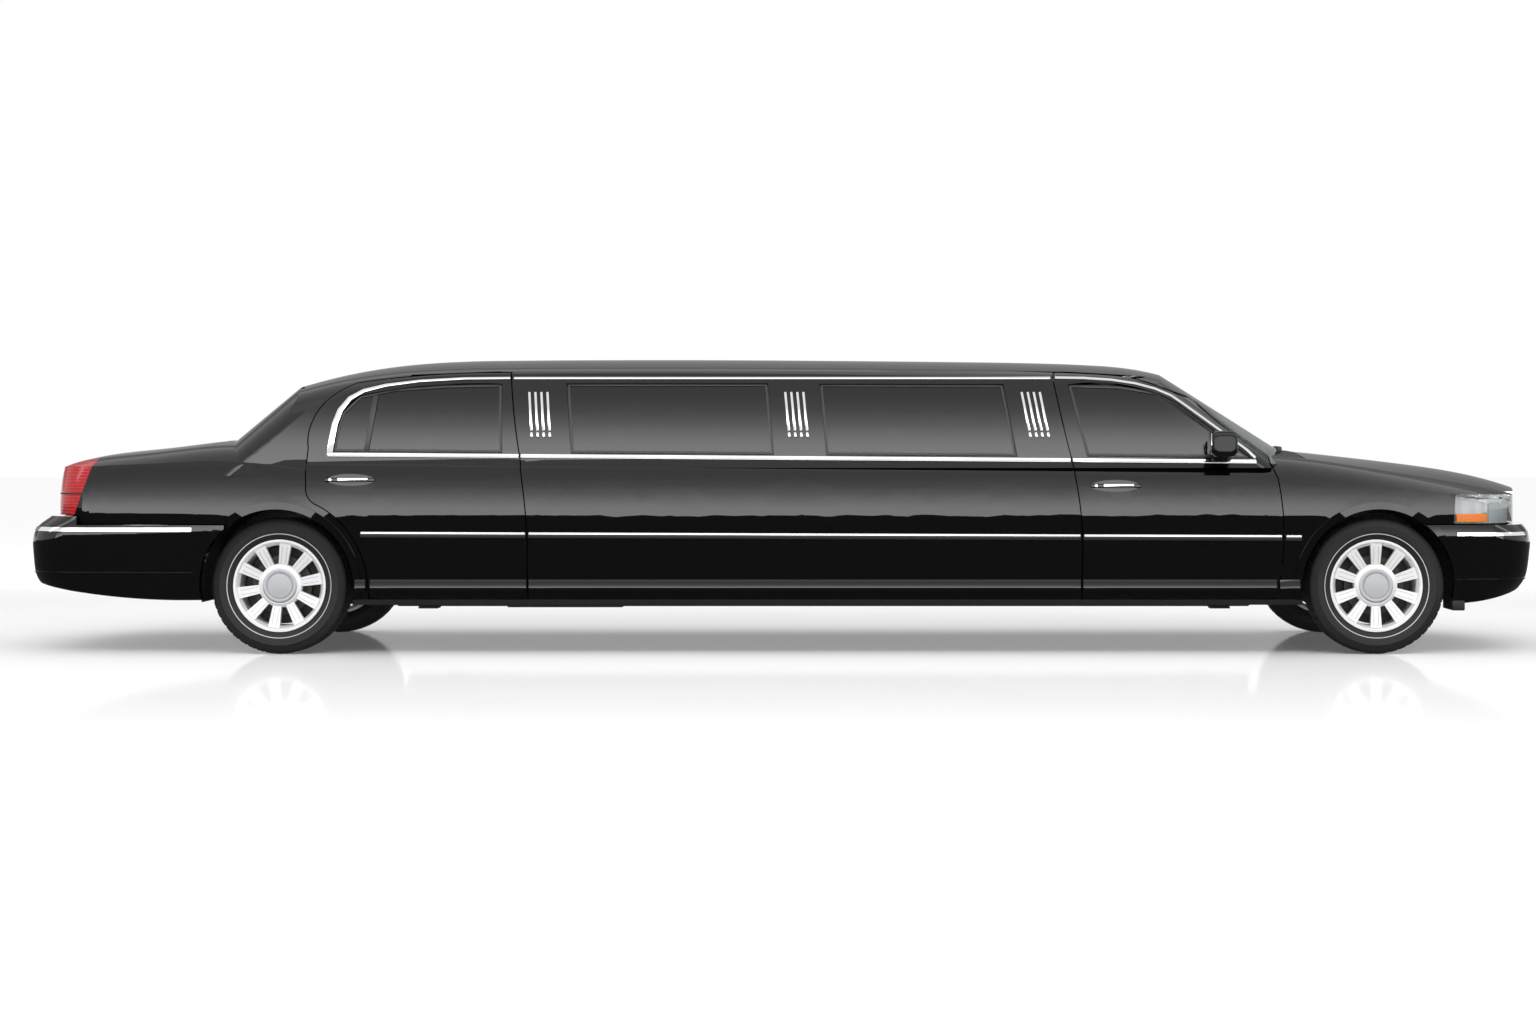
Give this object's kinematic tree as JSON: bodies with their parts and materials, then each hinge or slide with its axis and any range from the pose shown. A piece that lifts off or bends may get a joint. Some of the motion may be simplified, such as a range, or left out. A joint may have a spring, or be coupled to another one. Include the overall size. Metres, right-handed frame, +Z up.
{
  "type": "stretch limousine",
  "caption": "Long black saloon with a lengthened cabin, hinged doors, hood and boot lid, steered front wheels and a furnished passenger lounge.",
  "frame": {"origin": "ground level under the middle of the overall box", "axes": "+X to the nose, +Y to the left side, +Z up"},
  "size_m": [7.8239, 2.3, 1.5096],
  "materials": {
    "paint": "deep gloss black paint",
    "bumper_paint": "gloss black paint on moulded skin",
    "side_glass": "dark tinted glass",
    "screen_glass": "light tinted glass",
    "chrome": "bright plate",
    "lamp_clear": "clear lens",
    "lamp_red": "red lens",
    "black_plastic": "grained black",
    "steel": "black wax over steel",
    "iron": "bare cast iron",
    "alloy": "machined and lacquered",
    "tyre": "black rubber",
    "leather": "black leather",
    "wood": "polished veneer",
    "exhaust_steel": "dull steel"
  },
  "bodies": {
    "body": {"roof_panel": "paint", "a_pillars": "paint", "windscreen": "screen_glass", "rear_window": "side_glass", "stretch_panel_right": "paint", "stretch_panel_left": "paint", "stretch_windows_right": "side_glass", "stretch_windows_left": "side_glass", "quarter_panel_right": "paint", "quarter_panel_left": "paint", "front_fender_right": "paint", "front_fender_left": "paint", "sills": "black_plastic", "cowl": "black_plastic", "front_bumper": "bumper_paint", "rear_bumper": "bumper_paint", "grille": "chrome", "wheel_houses": "black_plastic", "headlamps": "lamp_clear", "tail_lamps": "lamp_red", "frame": "steel", "floor_pan": "steel", "firewall": "steel", "rear_bulkhead": "steel", "boot_floor": "steel", "engine": "iron", "propeller_shaft": "steel", "exhaust": "exhaust_steel", "front_suspension": "steel", "rear_axle": "iron", "radiator": "black_plastic", "dashboard": "black_plastic", "steering_wheel": "leather", "front_seats": "leather", "lounge_seats": "leather", "partition": "wood", "bar_cabinet": "wood"},
    "hood": {"hood": "paint"},
    "boot_lid": {"boot_lid": "paint"},
    "front_door_right": {"front_door_right": "paint", "front_glass_right": "side_glass", "mirror_right": "paint"},
    "front_door_left": {"front_door_left": "paint", "front_glass_left": "side_glass", "mirror_left": "paint"},
    "rear_door_right": {"rear_door_right": "paint", "rear_glass_right": "side_glass"},
    "rear_door_left": {"rear_door_left": "paint", "rear_glass_left": "side_glass"},
    "knuckle_right": {"knuckle_right": "iron"},
    "knuckle_left": {"knuckle_left": "iron"},
    "wheel_front_right": {"wheel_front_right": "alloy", "tyre_front_right": "tyre"},
    "wheel_front_left": {"wheel_front_left": "alloy", "tyre_front_left": "tyre"},
    "wheel_rear_right": {"wheel_rear_right": "alloy", "tyre_rear_right": "tyre"},
    "wheel_rear_left": {"wheel_rear_left": "alloy", "tyre_rear_left": "tyre"}
  },
  "joints": [
    {"name": "hood_lift", "type": "hinge", "parent": "body", "child": "hood", "pos_m": [2.6475, 0, 1.025], "axis": [0, -1, 0], "range_deg": [0, 50]},
    {"name": "boot_lift", "type": "hinge", "parent": "body", "child": "boot_lid", "pos_m": [-2.9165, 0, 1.085], "axis": [0, 1, 0], "range_deg": [0, 75]},
    {"name": "front_door_right_swing", "type": "hinge", "parent": "body", "child": "front_door_right", "pos_m": [2.508, -0.994, 0.6], "axis": [0, 0, 1], "range_deg": [0, 65]},
    {"name": "front_door_left_swing", "type": "hinge", "parent": "body", "child": "front_door_left", "pos_m": [2.508, 0.994, 0.6], "axis": [0, 0, -1], "range_deg": [0, 65]},
    {"name": "rear_door_right_swing", "type": "hinge", "parent": "body", "child": "rear_door_right", "pos_m": [-1.281, -0.994, 0.6], "axis": [0, 0, 1], "range_deg": [0, 65]},
    {"name": "rear_door_left_swing", "type": "hinge", "parent": "body", "child": "rear_door_left", "pos_m": [-1.281, 0.994, 0.6], "axis": [0, 0, -1], "range_deg": [0, 65]},
    {"name": "steer_left", "type": "hinge", "parent": "body", "child": "knuckle_left", "pos_m": [2.988, 0.76, 0.345], "axis": [0, 0, 1], "range_deg": [-33, 33]},
    {"name": "steer_right", "type": "hinge", "parent": "body", "child": "knuckle_right", "pos_m": [2.988, -0.76, 0.345], "axis": [0, 0, 1], "range_deg": [-33, 33]},
    {"name": "spin_front_right", "type": "hinge", "parent": "knuckle_right", "child": "wheel_front_right", "pos_m": [2.988, -0.8, 0.345], "axis": [0, 1, 0], "continuous": true},
    {"name": "spin_front_left", "type": "hinge", "parent": "knuckle_left", "child": "wheel_front_left", "pos_m": [2.988, 0.8, 0.345], "axis": [0, 1, 0], "continuous": true},
    {"name": "spin_rear_right", "type": "hinge", "parent": "body", "child": "wheel_rear_right", "pos_m": [-2.542, -0.8, 0.345], "axis": [0, 1, 0], "continuous": true},
    {"name": "spin_rear_left", "type": "hinge", "parent": "body", "child": "wheel_rear_left", "pos_m": [-2.542, 0.8, 0.345], "axis": [0, 1, 0], "continuous": true}
  ],
  "couplings": [
    {"joint": "steer_right", "follows": "steer_left", "ratio": 1}
  ]
}
